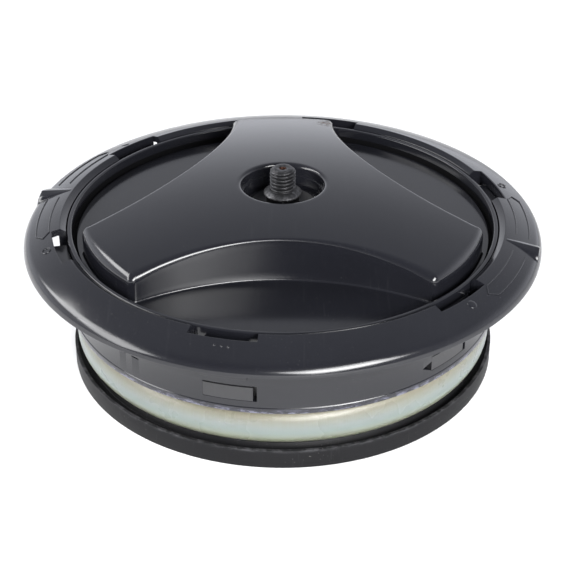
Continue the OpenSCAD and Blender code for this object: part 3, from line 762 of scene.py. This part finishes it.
def knob_shape():
    """Closed rings of points, from the pocket's floor out over the dome, down to the recess floor, through
    the groove, over the rim and back along the underside. Returns the shape and the groove's radii."""
    outline = lobes()
    p, n, rho, psi = (np.array([o[i] for o in outline]) for i in range(4))
    c = np.stack([np.cos(psi), np.sin(psi)], 1)
    rings = []

    def add(xy, z):
        rings.append(np.column_stack([xy, np.broadcast_to(np.asarray(z, float), (len(xy),))]))

    # centre pocket and its rounded mouth
    for r, z in [(5, POCKET_Z), (14.85, POCKET_Z), (15.1, 62.6), (15.2, 62.85), (15.2, 67.9), (15.27, 68.12),
                 (15.45, 68.2), (15.65, 68.2), (15.76, 68.25), (15.8, 68.45), (15.8, 71.0), (15.9, 71.5),
                 (16.15, 72.0), (16.55, 72.32), (17.1, 72.44)]:
        add(c * r, z)
    start = c * 17.8
    add(start, dome(start[:, 0], start[:, 1]))
    # domed top, out to where the rounding of the edge begins
    near = p - n * rho[:, None]
    grad = -near / np.sqrt(DOME_R ** 2 - (near ** 2).sum(1))[:, None]
    lean = math.pi / 2 - np.arctan((grad * -n).sum(1))
    end = p - n * (rho * (1 - np.cos(lean)))[:, None]
    edge_z = dome(end[:, 0], end[:, 1]) - rho * np.sin(lean)
    for k in range(1, 41):
        w = k / 40
        xy = start * (1 - w) + end * w
        add(xy, dome(xy[:, 0], xy[:, 1]))
    for k in range(9, -1, -1):
        a = lean * k / 10
        add(p - n * (rho * (1 - np.cos(a)))[:, None], edge_z + rho * np.sin(a))
    # wall down to the recess floor, with a small fillet at its foot
    foot = 0.8
    for k in range(1, 5):
        w = k / 5
        add(p, edge_z * (1 - w) + (FLOOR_Z + foot) * w)
    for k in range(6):
        g = math.pi / 2 * k / 5
        add(p + n * (foot * (1 - math.cos(g))), FLOOR_Z + foot * (1 - math.sin(g)))
    # floor, out to the groove
    base = p + n * foot
    r_in = KNOB_R - RIM_WALL
    groove_r, fil = r_in - GROOVE_W, 0.2
    along = (base * n).sum(1)
    reach = -along + np.sqrt(along ** 2 - (base ** 2).sum(1) + (groove_r - fil) ** 2)
    for k in range(1, 11):
        add(base + n * (reach * k / 10)[:, None], FLOOR_Z)
    u = base + n * reach[:, None]
    u = u / np.linalg.norm(u, axis=1)[:, None]
    for k in range(1, 4):
        g = math.pi / 2 * k / 3
        add(u * (groove_r - fil + fil * math.sin(g)), FLOOR_Z - fil * (1 - math.cos(g)))
    for r, z in [(groove_r, GROOVE_Z + 0.2), (groove_r + 0.2, GROOVE_Z), (r_in - 0.2, GROOVE_Z),
                 (r_in, GROOVE_Z + 0.2), (r_in, 54.4)]:
        add(u * r, z)
    # rim with rounded top edges, and the underside
    rt = 0.55
    for k in range(5):
        g = math.pi / 2 * k / 4
        add(u * (r_in + rt * (1 - math.cos(g))), MOUTH_Z - rt + rt * math.sin(g))
    for k in range(5):
        g = math.pi / 2 * k / 4
        add(u * (KNOB_R - rt + rt * math.sin(g)), MOUTH_Z - rt + rt * math.cos(g))
    for way, r, z in [(u, KNOB_R, 54), (u, KNOB_R, KNOB_UNDER + 0.3), (u, KNOB_R - 0.3, KNOB_UNDER),
                      (u, 60, KNOB_UNDER), (c, 20, KNOB_UNDER), (c, 5, KNOB_UNDER)]:
        add(way * r, z)
    m, count = len(p), len(rings)
    faces = []
    for i in range(count):
        a, b = i * m, (i + 1) % count * m
        faces += [(a + k, a + (k + 1) % m, b + (k + 1) % m, b + k) for k in range(m)]
    return ([tuple(map(float, q)) for ring in rings for q in ring], faces), groove_r, r_in


shape, groove_r, rim_in = knob_shape()
knob = build("turn_knob_skin", shape, "knob", KNOB, replaces=("turn_knob",), sharp=40)
# painted shade: the groove's floor and the rim's inner wall get the near-black material, so the gap reads as
# shadow
knob.data.materials.append(GROOVE_PAINTED_SHADE)
for p in knob.data.polygons:
    r, z = math.hypot(p.center.x, p.center.y), p.center.z / MM
    in_groove = (groove_r - 0.05) * MM < r < (rim_in + 0.02) * MM and GROOVE_Z - 0.1 < z < 54.2
    if in_groove and (z < FLOOR_Z - 0.2 or r > (rim_in - 0.05) * MM):
        p.material_index = 1

# ---------------------------------------------------------------- washer, stud and its vent tube
washer = fillet([(5, POCKET_Z, 0), (12.6, POCKET_Z, 0), (12.6, 64, 0.4), (5, 64, 0)])
build("hub_washer_skin", revolve(washer, 128), "knob", INNER, replaces=("hub_washer",),
      sharp=40)


def stud():
    """Shank, shoulder, helical thread and the hole in the tip."""
    n, pitch, depth = 96, 1.5, 0.86
    rings = []

    def flat(profile):
        rings.extend([(r, z)] * n for r, z in profile)

    flat([(1.1, 0.4), (4.2, 0.4), (4.4, 0.42), (4.96, 0.95), (5, 1.1), (5, 40), (5, 63.9), (5.02, 64),
          (6.3, 64), (6.4, 64.1), (6.4, 67.9), (6.45, 68), (7.15, 68), (7.3, 68.15), (7.3, 68.6),
          (7.2, 68.78), (5.6, 69.72), (5.2, 69.95)])
    z0, steps = 70.0, 150
    for i in range(steps + 1):
        z = z0 + (STUD_TOP - z0) * i / steps
        row = []
        for j in range(n):
            ph = (z / pitch - j / n) % 1.0
            tri = 1 - abs(2 * ph - 1)          # 0 at the root, 1 at the crest
            cut = min(1.0, max(0.0, (tri - 0.10) / 0.72))
            cut = cut * cut * (3 - 2 * cut) * 0.4 + cut * 0.6
            fade = min(1.0, (z - z0) / 0.9)
            r = STUD_R - depth * (1 - cut) * fade
            row.append((min(r, STUD_R - max(0.0, z - 77.55) * 1.02), z))
        rings.append(row)
    flat([(2.6, STUD_TOP), (1.62, STUD_TOP), (1.5, 78.72), (1.5, TUBE_FOOT), (1.1, TUBE_FOOT)])
    turns = [2 * math.pi * j / n for j in range(n)]
    verts = [(r * math.cos(a), r * math.sin(a), z) for row in rings for a, (r, z) in zip(turns, row)]
    faces = []
    for i in range(len(rings)):
        a, b = i * n, (i + 1) % len(rings) * n
        faces += [(a + j, a + (j + 1) % n, b + (j + 1) % n, b + j) for j in range(n)]
    return verts, faces


build("centre_stud_skin", stud(), "knob", STUD, replaces=("centre_stud",), sharp=50)
# the tube's darkened copper paints the shade inside its bore
tube_outline = fillet([(1.1, TUBE_FOOT, 0), (1.5, TUBE_FOOT, 0), (1.5, 78.5, 0.1), (1.1, 78.5, 0.15)], 3)
build("vent_tube_skin", revolve(tube_outline, 64), "knob", COPPER_AND_BORE_SHADE, replaces=("vent_tube",),
      sharp=50)

# ---------------------------------------------------------------- pressure plate
plate_outline = fillet([
    (14, 0, 0.4), (PLATE_R, 0, 0.7), (PLATE_R, 7.95, 0.2), (82.2, 7.95, 0.15),      # rim
    (82.2, 5, 0.4), (78.6, 5, 0.3), (77.6, 7.4, 0.3), (65.5, 7.4, 0.2),             # seat of the seal
    (65.5, 12, 0.4), (63, 12, 0.4), (63, 3, 0.8), (34.6, 3, 0.6),
    (34.6, 41, 0.5), (31, 41, 0.5), (31, 3, 0.6), (15, 3, 0.6),                     # centre tube
    (15, 24, 0.2), (8, 24, 0.1), (8, 19, 0), (7.5, 19, 0.1), (7.5, 8.5, 0), (14, 8.5, 0.2),     # hub
])


def lug(az):
    """One of the three lugs that keep the plate from turning."""
    n, half = 14, 7
    verts = []
    for j in range(n + 1):
        a = math.radians(az - half + 2 * half * j / n)
        verts += [(r * math.cos(a), r * math.sin(a), z) for r, z in ((59, 2), (62, 2), (62, 38), (59, 38))]
    faces = []
    for j in range(n):
        faces += [(4 * j + k, 4 * j + (k + 1) % 4, 4 * j + 4 + (k + 1) % 4, 4 * j + 4 + k) for k in range(4)]
    return verts, faces + [(3, 2, 1, 0), (4 * n, 4 * n + 1, 4 * n + 2, 4 * n + 3)]


def rib(az):
    a = math.radians(az)
    ca, sa = math.cos(a), math.sin(a)
    base = ((14.5, -1.1), (63.5, -1.1), (63.5, 1.1), (14.5, 1.1))
    verts = [(x * ca - y * sa, x * sa + y * ca, z) for z in (2, 10) for x, y in base]
    return verts, [(0, 3, 2, 1), (4, 5, 6, 7), (0, 1, 5, 4), (1, 2, 6, 5), (2, 3, 7, 6), (3, 0, 4, 7)]


plate = [revolve(plate_outline, 480)]
plate += [lug(az) for az in (90, 210, 330)] + [rib((k + 0.5) * 30) for k in range(12)]
build("pressure_plate_skin", gather(plate), "plate", PLATE, replaces=("pressure_plate",),
      sharp=38)

# ---------------------------------------------------------------- studio: white floor, room and soft boxes
FLOOR_HALF, FLOOR_WHITE = 1.6, (0.86, 0.86, 0.86)


def floor_material():
    m, t, bsdf, vec = material("floor_white")
    tint = mix(t, noise(t, vec, 9, 3, 0.5), tuple(c * 0.985 for c in FLOOR_WHITE), FLOOR_WHITE)
    t.links.new(tint, bsdf.inputs["Base Color"])
    bsdf.inputs["Roughness"].default_value = 0.6
    bsdf.inputs["Specular IOR Level"].default_value = 0.1
    bsdf.inputs["Emission Color"].default_value = (1, 1, 1, 1)
    bsdf.inputs["Emission Strength"].default_value = 0.15
    return m


bm = bmesh.new()
bmesh.ops.create_grid(bm, x_segments=8, y_segments=8, size=FLOOR_HALF)
me = bpy.data.meshes.new("floor")
bm.to_mesh(me)
bm.free()
floor = bpy.data.objects.new("floor", me)
bpy.context.scene.collection.objects.link(floor)
me.materials.append(floor_material())

bpy.context.scene.view_settings.view_transform = "Standard"
world = bpy.data.worlds.new("studio")
bpy.context.scene.world = world
world.use_nodes = True
t = world.node_tree
t.nodes.clear()
wout = t.nodes.new("ShaderNodeOutputWorld")
back = t.nodes.new("ShaderNodeBackground")
t.links.new(back.outputs[0], wout.inputs[0])
tc = t.nodes.new("ShaderNodeTexCoord")
sep = node(t, "ShaderNodeSeparateXYZ")
t.links.new(tc.outputs["Generated"], sep.inputs[0])
# the room's colour by height over the horizon, and its strength, greater towards the back
room = ramp(t, calc(t, "MULTIPLY_ADD", sep.outputs[2], 0.5, 0.5), [
    (0.0, (0.96, 0.98, 1.05)), (0.50, (0.96, 0.98, 1.05)), (0.58, (0.91, 0.93, 1.0)),
    (0.75, (0.45, 0.46, 0.50)), (0.84, (0.29, 0.30, 0.33)), (1.0, (0.26, 0.27, 0.30)),
])
t.links.new(room, back.inputs[0])
t.links.new(band(t, sep.outputs[1], -0.7, 0.6, 0.36, 1.55), back.inputs[1])


def strip(name, a, b, height, radiance):
    """A long soft box between two points, facing the object."""
    a, b = Vector(a), Vector(b)
    mid, along = (a + b) / 2, b - a
    z = mid.normalized()
    x = (along - z * along.dot(z)).normalized()
    light = bpy.data.lights.new(name, "AREA")
    light.shape = "RECTANGLE"
    light.size, light.size_y = along.length, height
    light.energy = radiance * math.pi * along.length * height
    ob = bpy.data.objects.new(name, light)
    ob.matrix_world = Matrix.Translation(mid) @ Matrix((x, z.cross(x), z)).transposed().to_4x4()
    ob.visible_camera = False
    bpy.context.scene.collection.objects.link(ob)


strip("strip_right", (0.08, -0.96, 0.24), (0.56, -0.52, 0.60), 0.36, 15)
strip("core_right", (0.16, -0.93, 0.30), (0.50, -0.60, 0.50), 0.16, 16)
strip("strip_left_front", (-0.82, -0.54, 0.20), (-0.79, -0.02, 0.60), 0.34, 9)
strip("strip_left_back", (-0.80, -0.02, 0.60), (-0.66, 0.46, 0.58), 0.30, 9)

# ---------------------------------------------------------------- camera, at the photograph's angle
CAMERA_AT = (0.00049, -0.51286, 0.34140)
CAMERA_DOWN = math.radians(31.512)
cam = bpy.data.cameras.new("camera")
cam.lens = 95.69
cam.sensor_width = 36.0
cam.clip_start = 0.01
cam_ob = bpy.data.objects.new("camera", cam)
cam_ob.location = CAMERA_AT
look = Vector((0, math.cos(CAMERA_DOWN), -math.sin(CAMERA_DOWN)))
cam_ob.rotation_euler = look.to_track_quat("-Z", "Y").to_euler()
bpy.context.scene.collection.objects.link(cam_ob)
bpy.context.scene.camera = cam_ob
